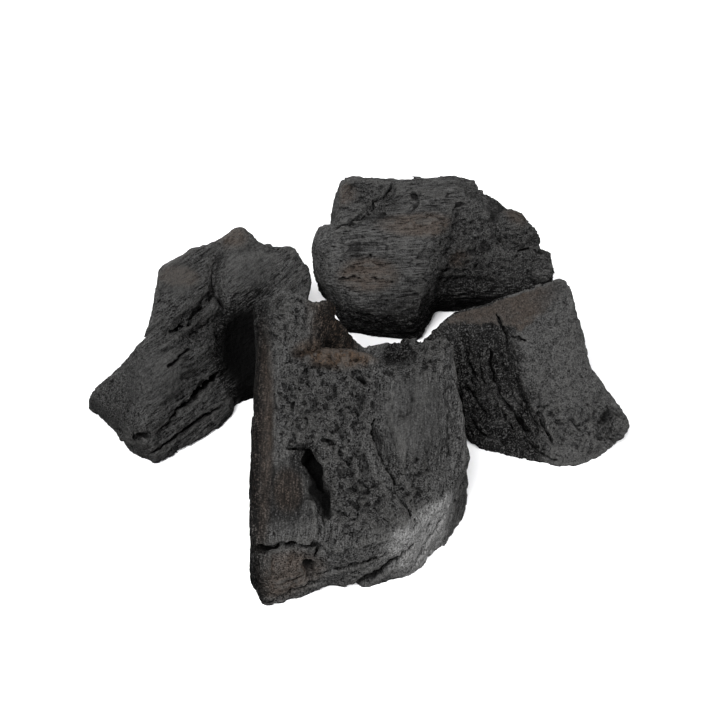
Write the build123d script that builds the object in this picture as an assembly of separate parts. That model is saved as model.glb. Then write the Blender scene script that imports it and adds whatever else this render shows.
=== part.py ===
"""A heap of four loose lumps of hardwood charcoal, standing side by side on a flat surface.

Each lump starts as a billet, which is an upright block on the lump's own outline seen from
above, and is then cleaved: split along flat planes, as charred wood splits. A cleaving plane
is given by three corners that lie on it, and the side without the lump's heart falls away.
A notch takes out only the piece that lies on the lost side of several planes at once. All
sizes are millimetres.

Frame: +Z up, +X to the right, +Y away from the viewer, origin under the middle of the heap
on the surface that the lumps stand on.
"""

import os
from build123d import *

HEADROOM = 90.0
FAR = 400.0

# The outline of each lump seen from above, in heap coordinates.
FRONT_OUTLINE = [
    (-40, -92), (-35, -104), (-30, -103), (-17, -98), (4, -94), (18, -88), (31, -74),
    (40, -58), (42.5, -42), (41, -22), (28, 1), (0, 9), (-30, 7), (-40, -8),
]
RIGHT_OUTLINE = [
    (19, 14), (33, 8), (40, -7), (43.5, -16), (48.5, -21), (60, -25.5), (74, -29), (82, -31.5),
    (98.5, -26), (103, -18), (110.5, -9.5), (109, -2), (100, 14), (88, 30), (58, 36), (24, 33),
]
BACK_OUTLINE = [
    (-20.5, 79), (-18.5, 68), (-12, 56), (-6, 49), (5, 45), (17, 43.5), (23, 45.5), (29, 54),
    (38, 61), (60, 63), (76, 64), (84, 69), (86, 80), (82, 92), (68, 102), (38, 107),
    (8, 106), (-10, 98),
]
LEFT_OUTLINE = [
    (-114.5, 5), (-104, -6), (-98.5, -13), (-93.5, -22), (-82, -31), (-70, -23), (-59, -10),
    (-53, 0), (-53, 6), (-43, 12), (-30, 27), (-22, 41), (-20.5, 60), (-27, 70),
    (-58, 68), (-80, 52), (-91, 36), (-99, 24), (-109, 11),
]


def half_space(corners, inside):
    """Everything on one side of the plane through three corners: the side that holds a point."""
    a, b, c = [Vector(*corner) for corner in corners]
    inside_dir = (b - a).cross(c - a)
    if inside_dir.dot(Vector(*inside) - a) < 0:
        inside_dir = -inside_dir
    on_the_plane = (Align.CENTER, Align.CENTER, Align.MIN)
    return Plane(origin=a, z_dir=inside_dir) * Box(FAR, FAR, FAR, align=on_the_plane)


def billet(outline):
    """An upright block on an outline, taller than any lump."""
    corners = [Vector(x, y) for x, y in outline]
    return extrude(make_face(Polyline(corners, close=True)), HEADROOM)


def cleave(lump, heart, *planes):
    """Splits a lump along each plane in turn and keeps the side with its heart."""
    for corners in planes:
        lump = lump & half_space(corners, heart)
    return lump


def notch(lump, lost, *planes):
    """Breaks out the piece that lies with the lost point beyond every one of the planes."""
    piece = half_space(planes[0], lost)
    for corners in planes[1:]:
        piece = piece & half_space(corners, lost)
    return lump - piece


def front_lump():
    """The largest lump: a long face that slopes up to two peaks with a broken notch between."""
    lump = cleave(
        billet(FRONT_OUTLINE),
        (0, -50, 15),
        # the long face, and its right part turned to the right
        ((-34, -99, 25), (4, -92, 26), (-24, -24, 77)),
        ((16, -86, 23), (36, -60, 33), (32, -30, 67)),
        # the smooth left side, leaning in
        ((-40, -6, 0), (-40, -94, 0), (-38.4, -18, 71)),
        # the right side
        ((43, -44, 0), (41, -22, 0), (33.5, -29, 62)),
        # the back
        ((28, 1, 0), (0, 9, 0), (10, -23, 62)),
        ((0, 9, 0), (-30, 7, 0), (-24, -17, 80)),
        # the top of the left peak
        ((-24, -20, 78.5), (-38.4, -20, 70.5), (-24, -40, 78.5)),
    )
    return notch(
        lump,
        (5, -15, 75),
        # the smooth wall of the left peak
        ((-22, -38, 60), (-1, -20, 49), (-10, -20, 72)),
        # the back of the ledge
        ((-17, -37, 63), (12, -38, 62), (-1, -20, 48)),
        # the left side of the right peak
        ((-1, -20, 49), (15, -40, 57), (26, -28, 65)),
    )


def right_lump():
    """A wedge with a dark broken end to the front left and a hollow face to the front right."""
    lump = cleave(
        billet(RIGHT_OUTLINE),
        (70, 0, 10),
        # the broken end
        ((48, -22, 0), (74, -30, 0), (61.5, 10, 47.5)),
        # the front right face
        ((80, -31, 0), (86, 14, 51), (61.5, 10, 48)),
        # the narrow split on top
        ((40, 13, 43.4), (73.5, 10, 54), (75.4, 19, 55)),
        # the back
        ((40, 14, 43.4), (60, 36, 0), (80, 19.5, 55)),
        ((40, 14, 43.4), (19, 14, 20), (24, 34, 0)),
    )
    lump = notch(
        lump,
        (98, 5, 40),
        # the right end behind the hollow, and behind the tip
        ((85, 14, 50), (94, 0, 26), (97, 22, 0)),
        ((94, 0, 26), (110, -9, 6), (104, 10, 0)),
    )
    return notch(
        lump,
        (92, -12, 36),
        # the upper and the lower part of the hollow
        ((84.5, 14, 52), (74, -12, 30), (94, 0, 26)),
        ((94, 0, 26), (84, -28, 5), (110, -10, 6)),
    )


def back_lump():
    """A long block with a raised top, undercut along its lower front edge."""
    lump = cleave(
        billet(BACK_OUTLINE),
        (20, 82, 25),
        # the top, sloping to the front, and behind it the back
        ((-8, 66, 51), (40, 66, 51), (17, 89, 58)),
        ((60, 89, 58), (17, 90, 58), (20, 107, 0)),
        # the front face
        ((-8, 64, 50), (10, 46, 18), (35, 67, 50)),
        # the ends
        ((-9.5, 80, 52), (-19.5, 95, 32), (-19.5, 70, 32)),
        ((77, 70, 46), (85, 74, 20), (85, 90, 20)),
        # the undercut
        ((4.4, 53, 0), (15.4, 50.8, 0), (17, 43.5, 18)),
    )
    lump = notch(
        lump,
        (65, 50, 30),
        # the front face set back at the right, and the side that it leaves
        ((38, 63, 18), (76, 65, 18), (60, 76, 49)),
        ((26, 50, 0), (32, 66, 0), (40, 74, 50)),
    )
    lump = notch(
        lump,
        (65, 60, 2),
        # the undercut at the right
        ((33, 70, 0), (60, 72, 0), (50, 61, 18)),
        ((26, 50, 0), (32, 66, 0), (40, 74, 50)),
    )
    return notch(
        lump,
        (70, 80, 58),
        # the right end of the raised top, and the shoulder beside it
        ((51, 80, 58), (58, 70, 48), (58, 80, 48)),
        ((58, 76, 48), (76, 71, 45), (76, 92, 30)),
    )


def left_lump():
    """A long split lump: a low wedge at the left rising to a block with a sharp ridge."""
    lump = cleave(
        billet(LEFT_OUTLINE),
        (-65, 20, 8),
        # the long front slope
        ((-82, -30, 8), (-53, 5, 10), (-50.5, 56, 55)),
        # the gentler top
        ((-69, 16, 37.6), (-50.5, 55.6, 55), (-83.6, 25.4, 46)),
        # the back
        ((-81, 35, 49), (-50, 56, 55), (-62, 68, 0)),
        ((-50, 56, 55), (-24, 63, 35), (-30, 71, 0)),
    )
    lump = notch(
        lump,
        (-100, 0, 40),
        # the top of the low wedge, and the block's end above it
        ((-82, -30, 8), (-83.7, 0, 37.8), (-113.6, 0, 7.4)),
        ((-83.6, 25.4, 46), (-88, 10, 32), (-83.5, 2, 36)),
    )
    return notch(
        lump,
        (-100, 22, 25),
        # the back of the wedge, and the block's end behind it
        ((-113.6, 0, 7.4), (-91, 5, 30), (-95, 27, 0)),
        ((-84.3, 14.5, 40), (-82, 34, 48), (-91, 36, 0)),
    )


LUMPS = {
    "front_lump": front_lump,
    "right_lump": right_lump,
    "back_lump": back_lump,
    "left_lump": left_lump,
}


def main():
    os.makedirs("parts", exist_ok=True)
    heap = {name: make() for name, make in LUMPS.items()}
    box = Compound(list(heap.values())).bounding_box()
    to_origin = Pos(-box.center().X, -box.center().Y, -box.min.Z)
    for name, lump in heap.items():
        export_step(to_origin * lump, f"parts/{name}.step")
    print("heap size", box.size, "moved by", to_origin.position)


main()
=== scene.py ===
"""Four lumps of hardwood charcoal on a pale floor.

Each lump starts as its CAD solid, is turned into a distance field on a voxel grid, and is
sculpted there: rounded, split along the grain, cracked, hollowed and crumbled. The result is
meshed again and gets a procedural charcoal material. Sculpting sizes are millimetres from the
low corner of the lump's own CAD node.
"""

import math

import bmesh
import bpy
import numpy as np
import openvdb as vdb
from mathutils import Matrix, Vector


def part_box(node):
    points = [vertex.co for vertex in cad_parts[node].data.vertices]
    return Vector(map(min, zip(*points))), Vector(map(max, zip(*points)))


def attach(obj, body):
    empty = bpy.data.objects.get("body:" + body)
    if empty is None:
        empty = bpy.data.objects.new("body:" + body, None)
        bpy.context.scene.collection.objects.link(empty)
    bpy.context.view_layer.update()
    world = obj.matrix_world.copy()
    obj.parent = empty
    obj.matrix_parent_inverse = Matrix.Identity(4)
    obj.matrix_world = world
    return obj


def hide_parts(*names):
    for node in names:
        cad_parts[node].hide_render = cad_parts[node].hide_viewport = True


MM = 0.001
PAD = 5.0  # empty space round a lump's grid
BAND = 9.0  # how deep inside a lump the distance field is exact
GROWTH = 0.4  # makes up for what rounding takes off the corners
HOLLOW_BLUR = 0.95  # how fine the dips and edges are that the paint tells apart
SHELTER_BLUR = 3.2  # the same for broad hollows
FAR = 1e9

NOISE_TABLE = 32
NOISE_SHIFT = 11.3  # keeps the lump away from the table's own corner
CELL_TABLE = 16
CELL_SHIFT = 40.0  # keeps cell numbers above zero
CORNERS = [(x, y, z) for x in (0, 1) for y in (0, 1) for z in (0, 1)]

GRAIN = {  # which way the wood's fibres run
    "left_lump": (0.70, 0.70, 0.10),
    "front_lump": (0.05, 0.82, 0.57),
    "back_lump": (1.0, 0.06, 0.04),
    "right_lump": (-0.25, -0.80, 0.55),
}

FLOOR_STEPS = 96
FLOOR_PROFILE = [(0.0, 0.0), (1.6, 0.0), (2.1, 0.06), (2.5, 0.26), (2.75, 0.6), (2.8, 2.4)]
FLOOR_GLOW = (0.10, 0.60, 0.10, 0.60)  # near and far in metres, and how strong it glows at each
SKY = ((0.32, 0.03), (0.56, 0.40), (1.0, 0.62))  # how high, 0 straight down and 1 up; how bright
SKY_STRENGTH = 0.70
SOFTBOXES = (  # name, place, target, side, watts
    ("key", (-0.22, -0.60, 0.80), (0.0, 0.0, 0.02), 0.42, 15.5),
    ("low", (0.62, -0.68, 0.30), (0.03, -0.05, 0.03), 0.40, 12.0),
    ("back", (-0.45, 0.80, 0.28), (0.0, 0.0, 0.03), 0.50, 9.0),
)
CAMERA_EYE = (0.0020, -0.4763, 0.4285)
CAMERA_TARGET = (0.0020, -0.0014, 0.0300)
CAMERA_LENS = 77.1
SENSOR_WIDTH = 36.0


# ------------------------------------------------------------------ noise

def trilinear(table, at, soft=False):
    """Interpolate a repeating 3-D table at (n, 3) table coordinates."""
    size = table.shape
    whole = np.floor(at).astype(np.int32)
    part = (at - whole).astype(np.float32)
    if soft:
        part = part * part * (3.0 - 2.0 * part)
    flat = table.ravel()
    total = 0.0
    for dx in (0, 1):
        ix = (whole[:, 0] + dx) % size[0] * size[1]
        wx = part[:, 0] if dx else 1.0 - part[:, 0]
        for dy in (0, 1):
            iy = (ix + (whole[:, 1] + dy) % size[1]) * size[2]
            wy = wx * (part[:, 1] if dy else 1.0 - part[:, 1])
            for dz in (0, 1):
                iz = iy + (whole[:, 2] + dz) % size[2]
                wz = wy * (part[:, 2] if dz else 1.0 - part[:, 2])
                total = total + wz * flat[iz]
    return total


def noise(points, scale, seed):
    """Smooth value noise, -1 to 1; scale is one size or a size per axis."""
    table = np.random.RandomState(seed).uniform(-1.0, 1.0, (NOISE_TABLE,) * 3).astype(np.float32)
    return trilinear(table, points / np.asarray(scale, np.float32) + NOISE_SHIFT, soft=True)


def fractal(points, scale, seed, octaves=3):
    """Noise with finer octaves added, each half as strong."""
    scale = np.asarray(scale, np.float32)
    return sum(0.5 ** k * noise(points, scale * 0.5 ** k, seed + 17 * k) for k in range(octaves))


def shift(make):
    """Three noises side by side, to push points about; make gives the noise for each axis."""
    return np.stack([make(axis) for axis in range(3)], axis=1)


def cells(points, scale, seed, tilt):
    """Broken pieces: a tilted flat height for each cell, and the distance to the cell's edge."""
    rng = np.random.RandomState(seed)
    count = CELL_TABLE ** 3
    jitter = rng.uniform(0.15, 0.85, (count, 3)).astype(np.float32)
    slope = rng.uniform(-tilt, tilt, (count, 3)).astype(np.float32)
    lift = rng.uniform(-1.0, 1.0, count).astype(np.float32)
    at = (points / np.asarray(scale, np.float32)).astype(np.float32) + CELL_SHIFT
    whole = np.floor(at - 0.5).astype(np.int32)
    first = np.full(len(at), FAR, np.float32)
    second = first.copy()
    owner = np.zeros(len(at), np.int32)
    for corner in CORNERS:
        cell = (whole + corner) % CELL_TABLE
        key = (cell[:, 0] * CELL_TABLE + cell[:, 1]) * CELL_TABLE + cell[:, 2]
        away = at - (whole + corner) - jitter[key]
        gap = np.einsum("ij,ij->i", away, away)
        nearer = gap < first
        second = np.where(nearer, first, np.minimum(second, gap))
        first = np.where(nearer, gap, first)
        owner = np.where(nearer, key, owner)
        if corner == CORNERS[0]:
            lean = away
        else:
            lean = np.where(nearer[:, None], away, lean)
    height = np.einsum("ij,ij->i", lean, slope[owner]) + lift[owner]
    return height, np.sqrt(second) - np.sqrt(first)


def smooth(x, low, high):
    """0 below low, 1 above high, and an easy curve between."""
    t = np.clip((x - low) / (high - low), 0.0, 1.0)
    return t * t * (3.0 - 2.0 * t)


def zone(points, blobs):
    """How far points are inside any of some soft ellipsoids, 0 to 1."""
    inside = np.zeros(len(points), np.float32)
    for centre, radii in blobs:
        r = np.sqrt((((points - np.float32(centre)) / np.float32(radii)) ** 2).sum(axis=1))
        inside = np.maximum(inside, 1.0 - smooth(r, 0.6, 1.15))
    return inside


def blur(field, sigma):
    """Gaussian blur of a grid; sigma is in voxels."""
    radius = max(1, int(math.ceil(2.5 * sigma)))
    weights = np.exp(-0.5 * (np.arange(-radius, radius + 1) / sigma) ** 2)
    weights = (weights / weights.sum()).astype(np.float32)
    for axis in range(3):
        margin = [(radius, radius) if a == axis else (0, 0) for a in range(3)]
        padded = np.pad(field, margin, mode="edge")
        count = field.shape[axis]
        total = np.zeros_like(field)
        for k, weight in enumerate(weights):
            part = [slice(None)] * 3
            part[axis] = slice(k, k + count)
            total += weight * padded[tuple(part)]
        field = total
    return field


# --------------------------------------------------------------- sculpting

def unit(vector):
    vector = np.float32(vector)
    return vector / np.linalg.norm(vector)


class Clay:
    """A lump as a distance field: below zero inside, in mm from its node's low corner."""

    def __init__(self, node, voxel, seed, rounding):
        self.voxel = voxel
        self.seed = seed
        self.low = np.array(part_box(node)[0])
        along = unit(GRAIN[node])
        across = unit(np.cross(along, (0.0, 0.0, 1.0)))
        self.axes = np.stack([along, across, np.cross(along, across)])
        self.field = self._distance(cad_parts[node].data)
        self.field = blur(self.field, rounding / voxel) - GROWTH
        self.whole = self.field

    def _distance(self, mesh):
        mesh.calc_loop_triangles()
        corners = np.empty(len(mesh.vertices) * 3, np.float32)
        mesh.vertices.foreach_get("co", corners)
        corners = (corners.reshape(-1, 3) - self.low) / MM
        faces = np.empty(len(mesh.loop_triangles) * 3, np.int32)
        mesh.loop_triangles.foreach_get("vertices", faces)
        grid = vdb.FloatGrid.createLevelSetFromPolygons(
            corners.astype(np.float32),
            triangles=faces.reshape(-1, 3).astype(np.uint32),
            transform=vdb.createLinearTransform(voxelSize=self.voxel),
            exBandWidth=PAD / self.voxel,
            inBandWidth=BAND / self.voxel,
        )
        self.first = np.floor(np.full(3, -PAD) / self.voxel).astype(int)
        last = np.ceil((corners.max(axis=0) + PAD) / self.voxel).astype(int)
        field = np.empty(tuple(last - self.first + 1), np.float32)
        grid.copyToArray(field, ijk=tuple(int(i) for i in self.first))
        return field

    def settle(self):
        """Keep the shape so far, so that later cuts can be measured against it."""
        self.whole = self.field.copy()

    def near(self, limit):
        """Grid cells within limit of the surface, and where they are."""
        index = np.nonzero(np.abs(self.field) < limit)
        points = (np.stack(index, axis=1) + self.first) * self.voxel
        return index, points.astype(np.float32)

    def around(self, points, reach, shell=FAR, outside=1.5):
        """Grid cells in the box round some points and within shell of the surface."""
        points = np.float32(points)
        low = np.floor((points.min(axis=0) - reach) / self.voxel).astype(int) - self.first
        high = np.ceil((points.max(axis=0) + reach) / self.voxel).astype(int) - self.first
        low = np.clip(low, 0, np.array(self.field.shape) - 1)
        high = np.clip(high, 1, np.array(self.field.shape))
        box = self.field[tuple(slice(a, b) for a, b in zip(low, high))]
        index = tuple(i + a for i, a in zip(np.nonzero((box < outside) & (box > -shell)), low))
        return index, ((np.stack(index, axis=1) + self.first) * self.voxel).astype(np.float32)

    def within(self, limit, blobs):
        """Grid cells near the surface inside some zones, where they are, and the zones' weight."""
        index, at = self.near(limit)
        weight = zone(at, blobs) if blobs else np.ones(len(at), np.float32)
        keep = weight > 0.02
        return tuple(i[keep] for i in index), at[keep], weight[keep]

    def cut(self, index, inside):
        """Take away what lies inside a cut, where the distance into it is above zero."""
        self.field[index] = np.maximum(self.field[index], inside)

    def along_grain(self, points):
        return points @ self.axes.T

    def follow(self, at, path, normal):
        """Measure points against a line drawn on the surface.

        Gives the distance to the line seen along the normal, the height over the line, the
        signed side, and how far along the line, 0 to 1.
        """
        normal = unit(normal)
        path = np.float32(path)
        lengths = np.linalg.norm(np.diff(path, axis=0), axis=1)
        ends = np.concatenate([[0.0], np.cumsum(lengths)]) / lengths.sum()
        best = np.full(len(at), FAR, np.float32)
        height = np.zeros(len(at), np.float32)
        side = np.zeros(len(at), np.float32)
        share = np.zeros(len(at), np.float32)
        for k in range(len(path) - 1):
            run = path[k + 1] - path[k]
            flat_run = run - (run @ normal) * normal
            away = at - path[k]
            t = np.clip((away @ flat_run) / (flat_run @ flat_run), 0.0, 1.0)
            offset = away - t[:, None] * run
            over = offset @ normal
            flat = offset - over[:, None] * normal
            gap = np.sqrt((flat ** 2).sum(axis=1))
            nearer = gap < best
            best = np.where(nearer, gap, best)
            height = np.where(nearer, over, height)
            side = np.where(nearer, flat @ np.cross(unit(flat_run), normal), side)
            share = np.where(nearer, ends[k] + t * (ends[k + 1] - ends[k]), share)
        return best, height, side, share

    def crack(self, path, normal, width=1.2, depth=8.0, wobble=0.6, closing=0.12, last=None):
        """Cut a narrow gap that tapers downwards and at its ends; last is its width at the end."""
        path = np.float32(path)
        last = width if last is None else last
        bottom = path - depth * unit(normal)
        index, at = self.around(np.concatenate([path, bottom]), 0.5 * max(width, last) + wobble + 1.5)
        moved = at + wobble * shift(
            lambda k: noise(at, 3.2, self.seed + 60 + k) + 0.5 * noise(at, 1.4, self.seed + 70 + k))
        gap, height, _, share = self.follow(moved, path, normal)
        ends = smooth(share, -0.02, closing) * (1.0 - smooth(share, 1.0 - closing, 1.02))
        half = 0.5 * (width + (last - width) * share) * (0.35 + 0.65 * ends)
        half = half * np.clip(1.0 + height / depth, 0.0, 1.3) ** 0.7
        self.cut(index, np.minimum(half - gap, depth * (0.4 + 0.6 * ends) + height))

    def hollow(self, path, radii, wobble=0.7):
        """Scoop out a rounded hole that follows a path, with a radius at each of its points."""
        path = np.float32(path)
        index, at = self.around(path, max(radii) + 3.0)
        moved = at + wobble * shift(lambda k: fractal(at, 5.0, self.seed + 80 + k, 2))
        inside = np.full(len(at), -FAR, np.float32)
        for k in range(len(path) - 1):
            run = path[k + 1] - path[k]
            away = moved - path[k]
            t = np.clip((away @ run) / (run @ run), 0.0, 1.0)
            gap = np.sqrt(((away - t[:, None] * run) ** 2).sum(axis=1))
            inside = np.maximum(inside, radii[k] + t * (radii[k + 1] - radii[k]) - gap)
        self.cut(index, inside)

    def step(self, path, normal, toward, drop=2.0, reach=14.0, edge=0.8):
        """Drop the surface on one side of a line, as where a layer of wood has split away."""
        index, at = self.around(path, reach, shell=4.0 + abs(drop), outside=1.5 + max(-drop, 0.0))
        moved = at + 0.5 * shift(lambda k: noise(at, 4.0, self.seed + 90 + k))
        gap, height, side, share = self.follow(moved, path, normal)
        path = np.float32(path)
        turn = np.cross(unit(path[-1] - path[0]), unit(normal)) @ unit(toward)
        side = side if turn > 0.0 else -side
        fade = np.exp(-((gap / reach) ** 2) * 2.0) * (1.0 - smooth(np.abs(height), 7.0, 12.0))
        ends = smooth(share, 0.0, 0.2) * (1.0 - smooth(share, 0.8, 1.0))
        past = np.sqrt(np.maximum(gap ** 2 - side ** 2, 0.0))
        self.field[index] += drop * smooth(side, -edge, edge) * fade * ends * np.exp(-((past / 4.0) ** 2))

    def ridge(self, path, normal, rise=1.5, width=3.0):
        """Raise a soft strand along a line; a negative rise presses a groove."""
        index, at = self.around(path, 2.2 * width + 2.0, shell=6.0, outside=2.5 + max(rise, 0.0))
        gap, height, _, share = self.follow(at, path, normal)
        ends = smooth(share, 0.0, 0.2) * (1.0 - smooth(share, 0.8, 1.0))
        fade = (1.0 - smooth(np.abs(height), 5.0, 9.0)) * (0.3 + 0.7 * ends)
        self.field[index] -= rise * np.exp(-((gap / width) ** 2)) * fade

    def swell(self, centre, radii, rise):
        """Push the surface out, or in for a negative rise, around one place."""
        index, at = self.around([centre], 2.2 * max(radii), shell=8.0, outside=1.5 + max(rise, 0.0))
        r2 = (((at - np.float32(centre)) / np.float32(radii)) ** 2).sum(axis=1)
        self.field[index] -= rise * np.exp(-r2)

    def knob(self, centre, radii, blend=2.0):
        """Join on a rounded lump of the same wood."""
        index, at = self.around([centre], max(radii) + blend + 2.0, outside=FAR)
        r = np.sqrt((((at - np.float32(centre)) / np.float32(radii)) ** 2).sum(axis=1))
        other = (r - 1.0) * min(radii)
        own = self.field[index]
        share = np.clip(0.5 + 0.5 * (own - other) / blend, 0.0, 1.0)
        self.field[index] = own + (other - own) * share - blend * share * (1.0 - share)

    def soften(self, blobs, sigma):
        """Melt the edges of the shape in some places."""
        index, at = self.near(BAND - 2.0)
        soft = blur(self.field, sigma / self.voxel)
        self.field[index] += zone(at, blobs) * (soft[index] - self.field[index])

    def bite(self, place, *normals, wobble=0.0):
        """Break off what lies beyond a place in every one of some directions."""
        index, at = self.near(BAND)
        away = at - np.float32(place) + wobble * fractal(at, 6.0, self.seed + 95, 2)[:, None]
        self.cut(index, np.minimum.reduce([away @ unit(normal) for normal in normals]))

    def facing(self, points, direction, low=0.80, high=0.92):
        """How much the uncut surface at points faces a direction, 0 to 1."""
        steps = 1.6 * np.eye(3, dtype=np.float32)
        slope = shift(lambda k: self.sample(self.whole, points + steps[k])
                      - self.sample(self.whole, points - steps[k]))
        slope /= np.maximum(np.linalg.norm(slope, axis=1, keepdims=True), 1e-6)
        return smooth(slope @ unit(direction), low, high)

    def undulate(self, amount, scale, seed):
        """Broad uneven waves over the whole lump."""
        index, at = self.near(1.6 * amount + 1.0)
        self.field[index] += amount * fractal(at, scale, self.seed + seed, 2)

    def facet(self, size, amount, seed):
        """Break the whole surface into broad flat facets, longer along the grain."""
        index, at = self.near(2.0 * amount + 1.0)
        moved = self.along_grain(at) + 1.5 * shift(lambda k: noise(at, 9.0, self.seed + seed + k))
        height, _ = cells(moved, (2.2 * size, size, size), self.seed + seed, 1.6)
        self.field[index] += amount * np.clip(height, -1.6, 1.6)

    def fibre(self, amount, width, blobs=None, stretch=(11.0, 1.0, 1.0)):
        """Fine splits and ridges that run with the grain, or across it for another stretch."""
        index, at, weight = self.within(2.5, blobs)
        bend = fractal(at, 14.0, self.seed + 31, 2)[:, None] * np.float32((0.0, 2.2, 2.2))
        grain = self.along_grain(at) + bend
        scale = width * np.float32(stretch)
        key = self.seed + int(100 * width)
        lines = 1.0 - np.abs(noise(grain, scale, key)) * 2.2
        fine = noise(grain, scale * 0.45, key + 1)
        patch = 0.5 + 0.5 * smooth(noise(at, 11.0, key + 2), -0.4, 0.5)
        self.field[index] += amount * weight * patch * (np.clip(lines, 0.0, 1.0) ** 2 + 0.45 * fine - 0.2)

    def crumble(self, blobs, size=4.0, amount=0.7, groove=0.9, stretch=1.5):
        """Break the surface into small loose pieces with dark gaps between them."""
        index, at, weight = self.within(3.5, blobs)
        push = shift(lambda k: fractal(at, 1.1 * size, self.seed + 40 + k, 2))
        grain = self.along_grain(at) + 0.42 * size * push
        height, edge = cells(grain, (stretch * size, size, size), self.seed + 43, 1.5)
        small, fine_edge = cells(grain, (0.6 * size, 0.42 * size, 0.42 * size), self.seed + 45, 1.4)
        patch = smooth(noise(at, 2.2 * size, self.seed + 44), -0.5, 0.5)
        gaps = (1.0 - smooth(edge, 0.0, 0.25)) * patch
        fine_gaps = (1.0 - smooth(fine_edge, 0.0, 0.3)) * (1.0 - 0.6 * patch)
        offset = amount * height + 0.4 * amount * small + groove * gaps + 0.35 * groove * fine_gaps
        offset += 0.4 * amount * push[:, 0] - 0.3 * groove
        self.field[index] += weight * offset

    def rings(self, pith, spacing, amount, blobs=None):
        """Growth rings as shallow terraces round an axis along the grain."""
        index, at = self.near(2.5)
        grain = self.along_grain(at - np.float32(pith))
        radius = np.sqrt(grain[:, 1] ** 2 + grain[:, 2] ** 2)
        radius = radius + 1.1 * noise(at, 14.0, self.seed + 51) + 0.3 * noise(at, 4.0, self.seed + 52)
        phase = radius / spacing
        phase = phase - np.floor(phase)
        terrace = np.where(phase < 0.75, phase / 0.75, (1.0 - phase) / 0.25) - 0.5
        weight = zone(at, blobs) if blobs else 1.0
        self.field[index] += amount * weight * terrace * (0.6 + 0.4 * noise(at, 10.0, self.seed + 53))

    def grit(self, amount, scale=1.3):
        """The smallest roughness that the grid can hold."""
        index, at = self.near(1.6)
        self.field[index] += amount * fractal(at, scale, self.seed + 58, 2)

    def sample(self, table, points):
        """Read a grid at places in mm."""
        return trilinear(table, points / self.voxel - self.first)

    def mesh(self, name, paint):
        """Turn the field into a mesh piece with the paint values on its points."""
        heights = (np.arange(self.field.shape[2]) + self.first[2]) * self.voxel
        field = np.maximum(self.field, -heights[None, None, :].astype(np.float32))
        hollows = blur(field, HOLLOW_BLUR / self.voxel)
        broad = blur(field, SHELTER_BLUR / self.voxel)
        limit = 3.0 * self.voxel
        grid = vdb.FloatGrid(limit)
        grid.transform = vdb.createLinearTransform(voxelSize=self.voxel)
        grid.copyFromArray(np.clip(field, -limit, limit), ijk=tuple(int(i) for i in self.first))
        points, quads = grid.convertToQuads(0.0)
        points, quads = largest_island(points, quads.astype(np.int64)[:, ::-1])
        # hollow, shelter and depth drive painted shade in dips, broad hollows, cracks and holes; hollow
        # also lightens worn edges
        values = {
            "hollow": np.clip(-self.sample(hollows, points), -1.0, 1.0),
            "shelter": np.clip(-self.sample(broad, points), -2.0, 2.0),
            "depth": np.clip(-self.sample(self.whole, points), 0.0, 12.0),
        }
        values.update({key: make(points) for key, make in paint.items()})
        return new_mesh(name, points * MM + self.low, quads, values)


def largest_island(points, faces):
    """Drop every loose crumb and closed bubble but the biggest joined piece."""
    label = np.arange(len(points))
    while True:
        lowest = label[faces].min(axis=1)
        joined = label.copy()
        np.minimum.at(joined, faces.ravel(), np.repeat(lowest, faces.shape[1]))
        joined = joined[joined]
        if np.array_equal(joined, label):
            break
        label = joined
    biggest = np.bincount(label).argmax()
    keep = label == biggest
    renumber = np.cumsum(keep) - 1
    return points[keep], renumber[faces[keep[faces[:, 0]]]]


def new_mesh(name, points, faces, values):
    mesh = bpy.data.meshes.new(name)
    mesh.vertices.add(len(points))
    mesh.vertices.foreach_set("co", points.astype(np.float32).ravel())
    mesh.loops.add(faces.size)
    mesh.loops.foreach_set("vertex_index", faces.ravel().astype(np.int32))
    mesh.polygons.add(len(faces))
    mesh.polygons.foreach_set("loop_start", np.arange(0, faces.size, 4, dtype=np.int32))
    mesh.update(calc_edges=True)
    mesh.validate()
    mesh.shade_smooth()
    for key, data in values.items():
        layer = mesh.attributes.new(key, "FLOAT", "POINT")
        layer.data.foreach_set("value", np.asarray(data, np.float32))
    piece = bpy.data.objects.new(name, mesh)
    bpy.context.scene.collection.objects.link(piece)
    return piece


# -------------------------------------------------------------- the lumps

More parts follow.
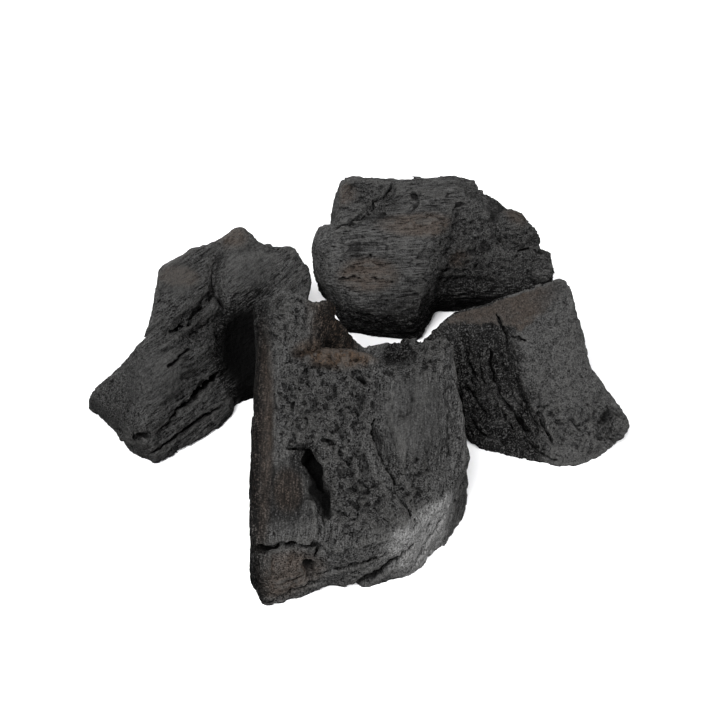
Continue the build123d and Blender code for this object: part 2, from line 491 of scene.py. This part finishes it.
def left_lump():
    clay = Clay("left_lump", voxel=0.56, seed=100, rounding=1.3)
    clay.undulate(0.9, 26.0, 1)
    clay.facet(9.0, 0.4, 3)
    front = (0.55, -0.55, 0.62)
    clay.swell((29, 34, 31), (7, 7, 7), 3.0)
    clay.swell((42, 62, 48), (9, 9, 9), 1.8)
    clay.swell((68, 72, 42), (8, 9, 9), 2.4)
    clay.swell((86, 92, 40), (5, 6, 6), 2.4)
    clay.swell((75, 93, 51), (6, 6, 6), -3.0)
    clay.swell((61, 90, 53), (9, 7, 6), 2.0)
    clay.ridge([(60, 80, 53), (57, 74, 51), (55, 69, 48), (55, 63, 44), (60, 57, 36)], (0.3, -0.5, 0.8),
               rise=-3.6, width=2.8)
    clay.ridge([(57, 90, 55), (48, 80, 54), (42, 72, 51)], (-0.1, -0.4, 0.9), rise=1.2, width=2.0)
    clay.ridge([(73, 85, 44), (78, 86, 39), (84, 84, 32)], (0.6, -0.5, 0.6), rise=1.4, width=3.5)
    clay.ridge([(55, 61, 42), (49, 52, 39), (43, 46, 37), (38, 41, 37)], (0.4, -0.5, 0.8),
               rise=-3.0, width=2.6)
    clay.ridge([(61, 58, 35), (52, 49, 34), (44, 41, 34)], (0.5, -0.5, 0.7), rise=-2.4, width=2.2)
    clay.ridge([(50, 50, 37), (44, 43, 35), (38, 37, 33)], (0.5, -0.5, 0.7), rise=1.8, width=2.0)
    clay.ridge([(56, 47, 27), (48, 38, 26), (40, 30, 24), (30, 22, 22)], (0.4, -0.6, 0.7),
               rise=2.2, width=6.0)
    clay.step([(62, 44, 17), (49, 29, 16), (38, 13, 13), (30, 2, 12)], front,
              toward=(0.6, -0.6, -0.5), drop=2.4, reach=12.0)
    clay.swell((67, 52, 22), (9, 12, 11), -5.0)
    clay.bite((93.0, 82, 29), (1.0, -0.2, -0.23), wobble=0.6)
    clay.soften([((24, 22, 20), (17, 22, 20))], 4.5)
    clay.settle()
    flank = [((36, 44, 37), (9, 18, 8)), ((46, 28, 14), (24, 26, 13)), ((50, 50, 35), (12, 12, 7))]
    clay.fibre(0.6, 3.0, flank)
    clay.fibre(0.35, 1.6, flank)
    clay.fibre(0.2, 2.4)
    loose = [((57, 50, 27), (8, 10, 8)), ((46, 46, 35), (12, 12, 5))]
    clay.crumble(loose, size=2.8, amount=0.34, groove=0.45, stretch=1.8)
    clay.crack([(57, 74, 51), (55, 70, 49), (54, 66, 46), (56, 62, 41), (60, 58, 35)], (0.5, -0.5, 0.7),
               width=0.8, depth=7.0, wobble=0.8, last=3.0)
    clay.crack([(56, 62, 41), (49, 53, 39), (43, 46, 37), (37, 40, 36)], (0.3, -0.6, 0.75),
               width=3.4, depth=5.0, wobble=1.8, last=1.6)
    clay.crack([(62, 60, 35), (52, 49, 34), (44, 41, 34)], (0.4, -0.6, 0.7),
               width=1.8, depth=4.0, wobble=1.4)
    clay.crack([(46, 38, 31), (41, 33, 29), (37, 29, 27)], (0.4, -0.6, 0.7),
               width=0.9, depth=2.5, wobble=1.0)
    clay.crack([(58, 39, 16), (50, 30, 16), (44, 21, 15), (38, 13, 13)], front,
               width=4.6, depth=7.0, wobble=1.8, last=1.8)
    clay.crack([(60, 31, 7), (50, 20, 8), (40, 9, 7), (31, 1, 6)], front,
               width=1.6, depth=8.0, wobble=0.6, closing=0.35)
    clay.hollow([(14, 19, 3), (20, 14, 5)], (1.6, 2.2))
    clay.hollow([(31, 5, 13), (27, 7, 10), (22, 10, 7)], (1.8, 2.4, 1.6))
    clay.hollow([(56, 48, 27), (60, 48, 24)], (2.0, 1.8), wobble=1.4)
    clay.grit(0.24)
    brown = [((60, 86, 52), (8, 8, 8)), ((40, 62, 48), (9, 5, 6))]
    # painted shadow: the lump's right side, where the front lump shades it, is painted black, and greyer at
    # the fringe above
    shaded = [((66, 54, 18), (16, 25, 20)), ((69, 40, 7), (9, 9, 12))]
    cast_shadow_fringe = [((71, 66, 28), (12, 12, 13))]
    clean = [((68, 80, 44), (15, 15, 13)), ((40, 62, 48), (10, 10, 7)), ((32, 24, 26), (16, 15, 12))]
    return clay.mesh("left_charcoal", {
        "crumb": lambda p: zone(p, loose),
        "tint": lambda p: 0.4 * zone(p, brown),
        "char_shade_sheen": lambda p: np.maximum(2.0 * zone(p, shaded), 0.8 * zone(p, cast_shadow_fringe)),
        "polish": lambda p: zone(p, clean),
    })


def front_lump():
    clay = Clay("front_lump", voxel=0.74, seed=200, rounding=0.8)
    clay.undulate(0.9, 24.0, 1)
    clay.facet(8.0, 0.5, 3)
    face = (0.1, -0.6, 0.8)
    clay.swell((15, 66, 66), (6, 6, 6), -1.6)
    clay.swell((54, 68, 62), (8, 8, 8), -3.4)
    clay.swell((32, 67, 65), (11, 6, 6), 1.4)
    clay.ridge([(16, 58, 60), (22, 64, 65), (30, 68, 67), (40, 67, 65), (49, 60, 59)], face,
               rise=2.2, width=3.0)
    clay.swell((11, 82, 78), (7, 8, 5), 1.6)
    clay.knob((27, 88, 68), (4, 4, 4))
    clay.swell((62, 44, 46), (12, 18, 12), 3.0)
    clay.ridge([(34, 50, 54), (38, 42, 48), (45, 30, 39), (52, 20, 31), (58, 16, 23)], (0.4, -0.6, 0.7),
               rise=2.6, width=3.6)
    clay.ridge([(47, 46, 50), (51, 34, 41), (57, 24, 30)], (0.6, -0.6, 0.5), rise=-3.2, width=2.4)
    clay.swell((16, 27, 40), (6, 11, 9), -3.2)
    clay.swell((28, 50, 54), (14, 20, 10), -2.0)
    clay.step([(5, 76, 76), (6, 58, 62), (8, 40, 48), (10, 20, 33), (11, 8, 27)], (0.0, -0.5, 0.9),
              toward=(-0.8, -0.2, -0.6), drop=1.8, reach=8.0, edge=1.4)
    clay.step([(74, 62, 56), (76, 50, 46), (77, 40, 34)], (0.9, -0.3, 0.3),
              toward=(0.6, 0.5, 0.0), drop=1.6, reach=6.0)
    clay.step([(19, 22, 35), (24, 21, 34), (25, 12, 28), (24, 6, 25)], face,
              toward=(0.9, 0.3, 0.0), drop=2.0, reach=7.0)
    clay.step([(2, 3, 25), (10, 3, 25), (19, 5, 25), (25, 6, 25)], (0.1, -0.8, 0.6),
              toward=(0.0, -0.5, -0.9), drop=1.8, reach=6.0)
    clay.swell((30, 6, 0), (5, 4, 5), -3.5)
    clay.swell((58, 14, 8), (9, 6, 6), 1.4)
    clay.settle()
    clay.fibre(0.4, 3.6)
    clay.fibre(0.28, 1.8)
    loose = [((28, 50, 54), (20, 32, 22)), ((10, 78, 72), (11, 16, 12)), ((58, 72, 62), (18, 12, 12)),
             ((42, 20, 32), (16, 11, 11)), ((60, 30, 35), (9, 10, 10)), ((32, 24, 38), (12, 16, 10))]
    clay.fibre(0.6, 2.6, loose, stretch=(0.9, 2.6, 2.6))
    clay.crumble(loose, size=3.5, amount=1.0, groove=0.95, stretch=1.3)
    layered = [((35, 6, 12), (45, 12, 14))]
    clay.rings((30, 60, -90), 3.2, 0.4, layered)
    clay.hollow([(44, 74, 58), (51, 77, 60), (57, 79, 61)], (1.8, 2.6, 1.6), wobble=1.6)
    clay.hollow([(20, 36, 44), (23, 29, 39), (26, 22, 33), (30, 17, 30)], (2.8, 4.4, 3.6, 1.4), wobble=1.6)
    clay.hollow([(22, 37, 40), (25, 36, 34), (28, 30, 26)], (3.6, 6.0, 6.0), wobble=1.2)
    clay.crack([(14, 36, 45), (18, 37, 45), (23, 37, 45)], face, width=1.8, depth=5.0, wobble=0.8)
    clay.crack([(29, 19, 33), (35, 16, 31), (42, 14, 29)], face, width=1.8, depth=4.0, wobble=1.5, last=0.8)
    clay.crack([(26, 20, 31), (27, 12, 28), (26, 8, 26)], (0.0, -0.8, 0.6), width=1.0, depth=4.0)
    clay.crack([(45, 46, 50), (47, 38, 44), (49, 33, 40), (52, 30, 38), (53, 27, 34), (56, 23, 29),
                (61, 20, 24)], (0.5, -0.6, 0.6), width=2.8, depth=9.0, wobble=0.9, last=1.8)
    clay.crack([(2, 6, 25), (10, 5, 25), (19, 6, 26), (23, 6, 25), (27, 6, 24)], (0.1, -0.9, 0.35),
               width=3.2, depth=6.0, wobble=1.4, last=2.6)
    clay.crack([(22, 6, 27), (25, 6, 24), (25, 5, 20)], (0.1, -0.9, 0.35), width=2.8, depth=5.0, wobble=1.3)
    clay.hollow([(21, 6, 15), (22, 5, 9)], (2.6, 1.6), wobble=1.3)
    clay.crack([(8, 1, 11), (22, 5, 11), (35, 8, 13), (46, 11, 15)], (0.2, -1.0, 0.1),
               width=1.4, depth=3.5, wobble=0.9)
    clay.crack([(34, 8, 9), (42, 10, 12), (50, 13, 16)], (0.3, -1.0, 0.1), width=0.9, depth=3.0)
    clay.crack([(5, 0, 2), (15, 3, 5), (22, 5, 6), (28, 7, 6)], (0.2, -1.0, 0.0), width=1.5, depth=5.0)
    clay.crack([(38, 6, 1), (43, 8, 5), (51, 11, 9), (56, 13, 13), (62, 17, 16)], (0.6, -0.8, 0.2),
               width=6.6, depth=12.0, wobble=0.8, closing=0.04, last=1.0)
    clay.crack([(60, 18, 6), (66, 26, 12), (70, 34, 17)], (0.8, -0.6, 0.1), width=0.9, depth=2.5)
    clay.crack([(56, 16, 2), (64, 22, 8)], (0.8, -0.6, 0.1), width=0.9, depth=2.5)
    for x, y, z in ((38, 49, 53), (29, 39, 46), (35, 35, 43), (21, 56, 60),
                    (12, 52, 58), (41, 60, 58), (50, 70, 60), (54, 74, 60)):
        clay.crack([(x - 3, y + 1, z), (x, y, z), (x + 2, y - 2, z - 2)], face,
                   width=1.8, depth=3.0, wobble=1.6)
    clay.grit(0.3, 1.6)
    ledge = [((32, 67, 65), (17, 8, 6))]
    brown = [((4, 40, 48), (5, 50, 40)), ((15, 2, 14), (16, 8, 12)), ((14, 24, 36), (6, 9, 9))]
    strip = [((64, 22, 16), (20, 20, 18))]
    inner = [((28, 84, 62), (14, 13, 18))]
    # painted shade in the dark pit near the top
    pit = [((52, 76, 60), (8, 8, 8))]
    # painted shade on the walls round the deep hole
    hole_shade = [((13, 22, 36), (10, 14, 13)), ((20, 34, 40), (7, 9, 9))]
    dull = [((66, 52, 46), (14, 28, 20)), ((4, 72, 68), (8, 20, 9))]
    clean = inner + [((60, 48, 50), (14, 20, 14)), ((32, 67, 67), (17, 8, 6)),
                     ((13, 22, 36), (11, 16, 14)), ((3, 45, 50), (8, 60, 45))]

    # painted sheen: the low strip that faces the front-right lamp is painted lighter, as a highlight
    def sheen(p):
        lit = clay.facing(p, (0.6, -0.8, 0.05), 0.72, 0.95) * (1.0 - smooth(p[:, 2], 23.0, 27.0))
        return lit * (0.10 + 1.2 * zone(p, strip))

    def darkness(p):
        edge = 1.4 - 0.13 * np.minimum(p[:, 0], 10.0)
        dark = np.maximum.reduce([
            edge, 0.8 * zone(p, hole_shade), 1.25 * zone(p, inner), 0.3 * zone(p, dull), 1.2 * zone(p, pit)])
        # the painted sheen goes in as negative values of the mark
        return dark - sheen(p)

    return clay.mesh("front_charcoal", {
        "crumb": lambda p: zone(p, loose),
        "tint": lambda p: 1.1 * zone(p, ledge) + 0.9 * zone(p, inner) + 0.5 * zone(p, brown),
        "char_shade_sheen": darkness,
        "polish": lambda p: zone(p, clean),
    })


def back_lump():
    clay = Clay("back_lump", voxel=0.605, seed=300, rounding=1.0)
    clay.soften([((54, 18, 34), (14, 16, 26))], 4.2)
    clay.undulate(1.1, 22.0, 1)
    clay.facet(7.0, 0.5, 3)
    clay.step([(36, 44, 58), (29, 35, 56), (24, 29, 53), (18, 23, 51), (8, 20, 49)], (0.0, -0.4, 0.9),
              toward=(0.7, -0.6, 0.0), drop=2.8, reach=10.0)
    clay.step([(52, 20, 24), (62, 20, 23), (72, 20, 23), (82, 22, 20)], (0.1, -0.9, 0.4),
              toward=(0.0, 0.2, -1.0), drop=2.0, reach=8.0)
    clay.swell((3, 34, 52), (7, 18, 8), -6.0)
    clay.swell((5, 24, 40), (7, 14, 5), 2.4)
    clay.bite((9.5, 25, 48.5), (-1.0, 0.0, 0.15), (0.0, 0.65, 0.76), wobble=1.0)
    clay.knob((9, 17, 29), (8, 9, 13), 3.0)
    clay.swell((46, 16, 36), (8, 12, 14), 1.4)
    clay.swell((74, 36, 52), (8, 10, 7), -5.0)
    clay.knob((86, 32, 43), (7, 7, 6), 3.0)
    clay.knob((92, 31, 38), (4.5, 6, 4.5), 3.0)
    clay.swell((98, 27, 34), (5, 8, 4), -6.5)
    clay.knob((99, 24, 24), (6, 6, 5.5), 1.0)
    clay.bite((2.9, 22, 17), (-1.0, -0.38, -0.45), wobble=0.8)
    clay.bite((98.7, 27, 32.3), (1.0, 0.0, 0.1), (0.0, 0.65, 0.76), wobble=1.2)
    clay.settle()
    clay.rings((50, 40, -25), 3.4, 0.45)
    clay.rings((50, 40, -25), 1.4, 0.2)
    clay.fibre(0.42, 2.4)
    clay.fibre(0.32, 1.3)
    loose = [((70, 24, 34), (24, 20, 18)), ((92, 28, 30), (14, 16, 18)), ((24, 36, 54), (14, 12, 6))]
    clay.crumble(loose, size=3.0, amount=0.5, groove=0.7, stretch=1.9)
    clay.crack([(35, 43, 57), (29, 35, 55), (24, 29, 53), (18, 23, 52), (8, 20, 50)], (0.0, -0.3, 1.0),
               width=1.0, depth=5.0, wobble=1.0, last=1.9)
    clay.hollow([(44, 37, 56), (44, 32, 54), (42, 28, 52)], (1.8, 2.2, 1.2), wobble=1.5)
    clay.hollow([(60, 30, 52), (65, 34, 53)], (1.6, 1.6), wobble=1.6)
    clay.hollow([(25, 14, 39), (25, 16, 38)], (0.8, 0.7), wobble=0.4)
    clay.crack([(2, 24, 9), (8, 14, 13), (14, 6, 16), (22, 3, 16), (38, 1, 16)], (0.0, -1.0, 0.1),
               width=1.1, depth=4.0, wobble=0.9)
    clay.crack([(10, 12, 30), (24, 9, 31), (34, 9, 29)], (0.0, -1.0, 0.3), width=0.8, depth=2.0, wobble=1.0)
    clay.crack([(30, 12, 39), (42, 12, 38), (50, 15, 38)], (0.0, -0.9, 0.5),
               width=0.8, depth=2.0, wobble=1.2)
    clay.crack([(56, 20, 28), (64, 20, 27), (74, 21, 28)], (0.1, -0.9, 0.4),
               width=1.2, depth=4.0, wobble=1.4)
    clay.crack([(90, 26, 33), (96, 28, 33), (101, 27, 31)], (0.5, -0.7, 0.5), width=1.4, depth=5.0)
    clay.grit(0.3)
    brown = [((46, 22, 50), (20, 6, 6)), ((24, 10, 32), (14, 8, 8)), ((64, 20, 32), (6, 6, 5)),
             ((88, 34, 46), (6, 8, 8)), ((12, 36, 56), (8, 8, 4))]
    return clay.mesh("back_charcoal", {
        "crumb": lambda p: zone(p, loose),
        "tint": lambda p: 0.45 * zone(p, brown),
        # painted shade: darker towards the bottom, where the front overhangs; also a little darker towards
        # the right end
        "char_shade_sheen": lambda p: 1.5 * (1.0 - smooth(p[:, 2], 6.0, 30.0)) + 0.25 * smooth(p[:, 0], 48.0, 60.0),
        "polish": lambda p: 0.4 * (1.0 - zone(p, loose)),
    })


def right_lump():
    clay = Clay("right_lump", voxel=0.51, seed=400, rounding=0.8)
    top = unit((-0.18, -0.56, 0.81))
    ridge = np.float32((37, 40, 44))
    clay.undulate(0.7, 24.0, 1)
    clay.facet(9.0, 0.3, 3)
    clay.bite(ridge, top)
    end_face = (-0.2, -0.8, 0.6)
    clay.step([(44, 36, 44), (42, 30, 38), (44, 23, 29), (48, 17, 20), (53, 11, 12)], (0.2, -0.8, 0.6),
              toward=(-0.9, -0.2, -0.3), drop=1.6, reach=14.0)
    clay.swell((66, 26, 27), (14, 14, 14), -1.8)
    clay.swell((72, 12, 10), (9, 8, 8), 1.6)
    clay.knob((84, 14, 9), (4.5, 5, 6), 3.0)
    clay.settle()
    end_grain = [((26, 24, 22), (20, 22, 22)), ((46, 12, 8), (13, 12, 12))]
    clay.rings((120, 30, 60), 2.9, 0.5, end_grain)
    clay.crumble(end_grain, size=2.0, amount=0.5, groove=1.1, stretch=1.2)
    clay.fibre(0.22, 3.0)
    loose = [((78, 12, 10), (20, 14, 12)), ((56, 14, 14), (8, 12, 12))]
    clay.crumble(loose, size=3.2, amount=0.55, groove=0.7, stretch=1.3)
    for path, width in (
            ([(33, 33, 34), (34, 28, 27), (36, 23, 22), (40, 18, 17), (44, 14, 13), (50, 9, 9)], 2.2),
            ([(23, 36, 33), (25, 32, 29), (28, 27, 24)], 1.6),
            ([(23, 26, 21), (27, 22, 17), (32, 17, 13)], 1.5),
            ([(25, 17, 10), (28, 15, 7), (32, 12, 5)], 1.6),
            ([(36, 41, 45), (38, 37, 41), (40, 33, 38), (39, 29, 34)], 1.8),
            ([(39, 34, 38), (44, 34, 39), (48, 34, 39)], 1.0),
            ([(29, 33, 32), (30, 28, 27), (32, 24, 22)], 1.2),
            ([(34, 22, 19), (38, 17, 14), (43, 12, 9)], 1.3),
            ([(26, 33, 31), (26, 28, 25), (28, 23, 20)], 0.9),
            ([(38, 30, 31), (40, 24, 25), (44, 18, 19), (49, 13, 14)], 1.3),
            ([(15, 39, 34), (17, 33, 27), (19, 28, 22), (21, 22, 16)], 1.9)):
        clay.crack(path, end_face, width=width, depth=5.0, wobble=1.2)
    clay.crack([(43, 25, 27), (47, 18, 19), (50, 14, 15), (53, 10, 11)], (0.1, -0.8, 0.6),
               width=1.1, depth=4.0, wobble=1.1)
    clay.crack([(52, 15, 17), (55, 10, 11), (58, 6, 7)], (0.2, -0.8, 0.5), width=1.0, depth=4.0)
    clay.crack([(48, 8, 6), (54, 4, 3), (60, 2, 2)], (0.2, -0.9, 0.3), width=0.9, depth=3.0)
    clay.hollow([(37, 10, 5), (39, 9, 4)], (1.2, 1.0))
    clay.hollow([(51, 12, 13), (52, 10, 10)], (1.1, 1.0))
    clay.grit(0.26)

    def on_top(p):
        return smooth((p - ridge) @ top, -0.9, -0.5) * clay.facing(p, top, 0.90, 0.97)

    def darkness(p):
        rim = p[:, 0] + 0.35 * (p[:, 2] - 44.0) + 3.0 * noise(p, 4.0, 7)
        plates = zone(p, [((35, 20, 16), (11, 10, 10))]) * smooth(noise(p, 7.0, 8), -0.5, 0.3)
        patchy = 1.0 - 0.55 * plates + 0.25 * noise(p, 3.0, 9)
        dark_face = 0.9 * patchy * (1.0 - smooth(rim, 39.0, 44.0)) * (1.0 - on_top(p))
        return dark_face + 0.3 * on_top(p)

    return clay.mesh("right_charcoal", {
        "crumb": lambda p: np.maximum(zone(p, end_grain), 0.5 * zone(p, loose)),
        "tint": lambda p: 0.5 * on_top(p) * (1.0 - smooth(p[:, 0], 44.0, 64.0)),
        "char_shade_sheen": darkness,
        "polish": lambda p: np.maximum(0.6 * (1.0 - zone(p, end_grain)), on_top(p)),
    })


# --------------------------------------------------------------- material

BLACK = (0.0012, 0.0012, 0.0012, 1.0)
GREY = (0.060, 0.0595, 0.059, 1.0)
STREAK = (0.058, 0.057, 0.055, 1.0)
BROWN = (0.052, 0.033, 0.021, 1.0)
PAINTED_SHEEN_GREY = (0.180, 0.179, 0.178, 1.0)
WORN = (0.060, 0.059, 0.057, 1.0)


class Nodes:
    """Shorthand for building one material's node tree."""

    def __init__(self, material):
        material.use_nodes = True
        self.tree = material.node_tree
        self.tree.nodes.clear()

    def add(self, kind, inputs=None, **settings):
        node = self.tree.nodes.new(kind)
        for key, value in settings.items():
            setattr(node, key, value)
        for key, value in (inputs or {}).items():
            self.feed(node.inputs[key], value)
        return node

    def feed(self, socket, value):
        if isinstance(value, bpy.types.NodeSocket):
            self.tree.links.new(value, socket)
        else:
            socket.default_value = value

    def math(self, operation, a, b=0.0, c=0.0):
        return self.add("ShaderNodeMath", {0: a, 1: b, 2: c}, operation=operation).outputs[0]

    def ramp(self, value, low, high, bottom=0.0, top=1.0):
        ends = {"Value": value, "From Min": low, "From Max": high, "To Min": bottom, "To Max": top}
        return self.add("ShaderNodeMapRange", ends, clamp=True).outputs[0]

    def mix(self, share, a, b):
        node = self.add("ShaderNodeMix", data_type="RGBA")
        self.feed(node.inputs["Factor"], share)
        self.feed(node.inputs[6], a)
        self.feed(node.inputs[7], b)
        return node.outputs[2]

    def read(self, name):
        return self.add("ShaderNodeAttribute", attribute_name=name).outputs["Fac"]

    def noise(self, vector, scale, detail=3.0, rough=0.55):
        inputs = {"Vector": vector, "Scale": scale, "Detail": detail, "Roughness": rough}
        return self.add("ShaderNodeTexNoise", inputs).outputs["Fac"]


def burnt_pattern(n, mottle, place, streaked, streakiness):
    """Grains and streaks about 0.5, all grain where the wood crumbles and calmer where it is clean."""
    grains = n.noise(place, 1900.0, 0.0)
    coarse = n.math("ADD", n.math("MULTIPLY", mottle, 0.5), n.math("MULTIPLY", grains, 0.5))
    streaks = n.math("ADD", n.math("MULTIPLY", n.noise(streaked, 1500.0, 1.0, 0.6), 0.75),
                     n.math("MULTIPLY", grains, 0.25))
    share = n.ramp(n.read("crumb"), 0.0, 1.0, streakiness, 0.2 * streakiness)
    pattern = n.math("MULTIPLY_ADD", n.math("SUBTRACT", streaks, coarse), share, coarse)
    contrast = n.ramp(n.read("polish"), 0.0, 1.0, 1.0, 0.5)
    return n.math("MULTIPLY_ADD", n.math("SUBTRACT", pattern, 0.5), contrast, 0.5)


def burnt_colour(n, pattern, place, streaked):
    """Black and grey grains with brown patches, a painted sheen highlight in pale grey and lighter worn
    edges.
    """
    bands = n.noise(streaked, 260.0, 2.0, 0.6)
    patches = n.noise(place, 45.0, 3.0)
    shade = n.mix(n.ramp(pattern, 0.38, 0.63), BLACK, GREY)
    shade = n.mix(n.ramp(bands, 0.56, 0.74, 0.0, 0.30), shade, STREAK)
    shade = n.mix(n.ramp(bands, 0.44, 0.28, 0.0, 0.45), shade, BLACK)
    brown = n.math("MULTIPLY", n.read("tint"), n.ramp(patches, 0.30, 0.60, 0.55, 1.0))
    brown = n.math("MULTIPLY", brown, n.ramp(pattern, 0.42, 0.55, 0.3, 1.0))
    shade = n.mix(brown, shade, BROWN)
    # painted sheen: where the mark is below zero the colour turns to a pale grey highlight
    sheen = n.ramp(n.read("char_shade_sheen"), 0.0, -1.0, 0.0, 0.75)
    sheen = n.math("MULTIPLY", sheen, n.ramp(pattern, 0.42, 0.56, 0.3, 1.0))
    shade = n.mix(sheen, shade, PAINTED_SHEEN_GREY)
    return n.mix(n.ramp(n.read("hollow"), -0.04, -0.30, 0.0, 0.35), shade, WORN)


def char_and_shade(n, pattern):
    """How black the surface is, 0 to 1: painted shade in dips, broad hollows, cracks and holes, black
    flecks where the wood is charred or painted shaded, and a painted shadow in full black where the mark
    passes 1.
    """
    char_shade_sheen = n.read("char_shade_sheen")
    # painted shade: darker in small dips, in broad hollows, and below the uncut surface in cracks and holes
    dark = n.ramp(n.read("hollow"), 0.10, 0.45, 0.0, 0.70)
    dark = n.math("MAXIMUM", dark, n.ramp(n.read("shelter"), 0.6, 1.9, 0.0, 0.6))
    dark = n.math("MAXIMUM", dark, n.ramp(n.read("depth"), 1.0, 3.5, 0.0, 0.98))
    flecks = n.ramp(pattern, 0.50, 0.60, 1.0, 0.15)
    dark = n.math("MAXIMUM", dark, n.math("MULTIPLY", flecks, n.ramp(char_shade_sheen, 0.0, 1.0, 0.0, 0.95)))
    # painted shadow: values of the mark from 1 to 2 go to full black
    return n.math("MAXIMUM", dark, n.ramp(char_shade_sheen, 1.0, 2.0, 0.0, 0.98))


def charcoal(name, grain, streakiness):
    """Burnt wood: near black, a dull graphite sheen with a painted sheen in places, painted shade in
    hollows and cracks, fine streaks with the grain.
    """
    material = bpy.data.materials.new(name)
    n = Nodes(material)
    place = n.add("ShaderNodeTexCoord").outputs["Object"]
    turn = Vector((1.0, 0.0, 0.0)).rotation_difference(Vector(grain)).inverted().to_euler()
    turned = n.add("ShaderNodeMapping", {"Vector": place, "Rotation": turn}).outputs[0]
    streaked = n.add("ShaderNodeMapping", {"Vector": turned, "Scale": (0.13, 1.0, 1.0)}).outputs[0]
    mottle = n.noise(place, 700.0, 2.0, 0.7)
    pattern = burnt_pattern(n, mottle, place, streaked, streakiness)
    shade = n.mix(char_and_shade(n, pattern), burnt_colour(n, pattern, place, streaked), BLACK)

    rough = n.ramp(pattern, 0.38, 0.62, 0.66, 0.46)
    rough = n.math("ADD", rough, n.ramp(n.read("char_shade_sheen"), -1.0, 1.0, -0.14, 0.16))
    rough = n.math("ADD", rough, n.ramp(n.read("depth"), 0.5, 3.0, 0.0, 0.3))

    crumb = n.read("crumb")
    height = n.math("MULTIPLY", mottle, n.ramp(crumb, 0.0, 1.0, 1.0, 2.4))
    height = n.math("ADD", height, n.math("MULTIPLY", pattern, n.ramp(crumb, 0.0, 1.0, 1.3, 1.7)))
    bump = n.add("ShaderNodeBump", {"Strength": 1.0, "Distance": 0.0010, "Height": height}).outputs[0]

    shader = n.add("ShaderNodeBsdfPrincipled", {
        "Base Color": shade, "Roughness": rough, "Normal": bump, "Specular IOR Level": 0.04})
    n.add("ShaderNodeOutputMaterial", {"Surface": shader.outputs[0]})
    return material


# ------------------------------------------------------------------ stage

def floor():
    """A white sweep that takes shadows, and throws no light back up under the lumps."""
    mesh = bpy.data.meshes.new("floor")
    build = bmesh.new()
    line = [build.verts.new((r, 0.0, z)) for r, z in FLOOR_PROFILE]
    edges = [build.edges.new(pair) for pair in zip(line, line[1:])]
    bmesh.ops.spin(build, geom=line + edges, axis=(0, 0, 1), cent=(0, 0, 0),
                   angle=2.0 * math.pi, steps=FLOOR_STEPS, use_merge=True)
    bmesh.ops.remove_doubles(build, verts=build.verts, dist=0.0001)
    build.to_mesh(mesh)
    build.free()
    mesh.shade_smooth()
    piece = bpy.data.objects.new("floor", mesh)
    bpy.context.scene.collection.objects.link(piece)
    piece.visible_diffuse = False
    piece.visible_glossy = False
    piece.visible_shadow = False
    material = bpy.data.materials.new("floor_white")
    n = Nodes(material)
    place = n.add("ShaderNodeTexCoord").outputs["Object"]
    away = n.add("ShaderNodeVectorMath", {0: place}, operation="LENGTH").outputs["Value"]
    shader = n.add("ShaderNodeBsdfPrincipled", {
        "Base Color": (0.92, 0.92, 0.93, 1.0), "Roughness": 0.9, "Specular IOR Level": 0.1,
        "Emission Color": (0.98, 0.98, 1.0, 1.0),
        "Emission Strength": n.ramp(away, *FLOOR_GLOW)})
    n.add("ShaderNodeOutputMaterial", {"Surface": shader.outputs[0]})
    mesh.materials.append(material)


def softbox(name, place, target, size, power):
    data = bpy.data.lights.new(name, "AREA")
    data.shape = "SQUARE"
    data.size = size
    data.energy = power
    lamp = bpy.data.objects.new(name, data)
    lamp.location = place
    lamp.rotation_euler = (Vector(target) - Vector(place)).to_track_quat("-Z", "Y").to_euler()
    bpy.context.scene.collection.objects.link(lamp)


def lights():
    """A studio that is bright overhead and dim below, with soft lights in front and behind."""
    world = bpy.data.worlds.new("studio")
    bpy.context.scene.world = world
    world.use_nodes = True
    tree = world.node_tree
    sky = tree.nodes["Background"]
    way = tree.nodes.new("ShaderNodeTexCoord")
    split = tree.nodes.new("ShaderNodeSeparateXYZ")
    ramp = tree.nodes.new("ShaderNodeValToRGB")
    span = tree.nodes.new("ShaderNodeMapRange")
    span.inputs["From Min"].default_value = -1.0
    tree.links.new(way.outputs["Generated"], split.inputs[0])
    tree.links.new(split.outputs["Z"], span.inputs["Value"])
    tree.links.new(span.outputs[0], ramp.inputs[0])
    tree.links.new(ramp.outputs[0], sky.inputs["Color"])
    stops = ramp.color_ramp.elements
    stops[0].position = SKY[0][0]
    stops[1].position = SKY[-1][0]
    for position, _ in SKY[1:-1]:
        stops.new(position)
    for stop, (_, level) in zip(stops, SKY):
        stop.color = (level, level, level, 1.0)
    sky.inputs["Strength"].default_value = SKY_STRENGTH
    for values in SOFTBOXES:
        softbox(*values)
    bpy.context.scene.view_settings.view_transform = "Standard"


def camera():
    data = bpy.data.cameras.new("camera")
    data.lens = CAMERA_LENS
    data.sensor_width = SENSOR_WIDTH
    data.clip_end = 20.0
    eye = bpy.data.objects.new("camera", data)
    eye.location = CAMERA_EYE
    eye.rotation_euler = (Vector(CAMERA_TARGET) - Vector(CAMERA_EYE)).to_track_quat("-Z", "Y").to_euler()
    bpy.context.scene.collection.objects.link(eye)
    bpy.context.scene.camera = eye


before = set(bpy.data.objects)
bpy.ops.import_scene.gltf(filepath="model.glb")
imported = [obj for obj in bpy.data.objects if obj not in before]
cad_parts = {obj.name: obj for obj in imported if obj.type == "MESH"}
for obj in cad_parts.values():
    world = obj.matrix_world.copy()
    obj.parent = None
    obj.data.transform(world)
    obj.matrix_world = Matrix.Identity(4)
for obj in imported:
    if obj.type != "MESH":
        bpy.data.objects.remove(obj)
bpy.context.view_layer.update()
camera()
lights()
floor()
LUMPS = (  # node, how it is made, how streaky its wood is
    ("left_lump", left_lump, 0.75),
    ("front_lump", front_lump, 0.55),
    ("back_lump", back_lump, 0.80),
    ("right_lump", right_lump, 0.25),
)
for node_name, sculpt, streakiness in LUMPS:
    lump = sculpt()
    lump.data.materials.append(charcoal("charcoal_" + node_name, GRAIN[node_name], streakiness))
    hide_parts(node_name)
    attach(lump, node_name)
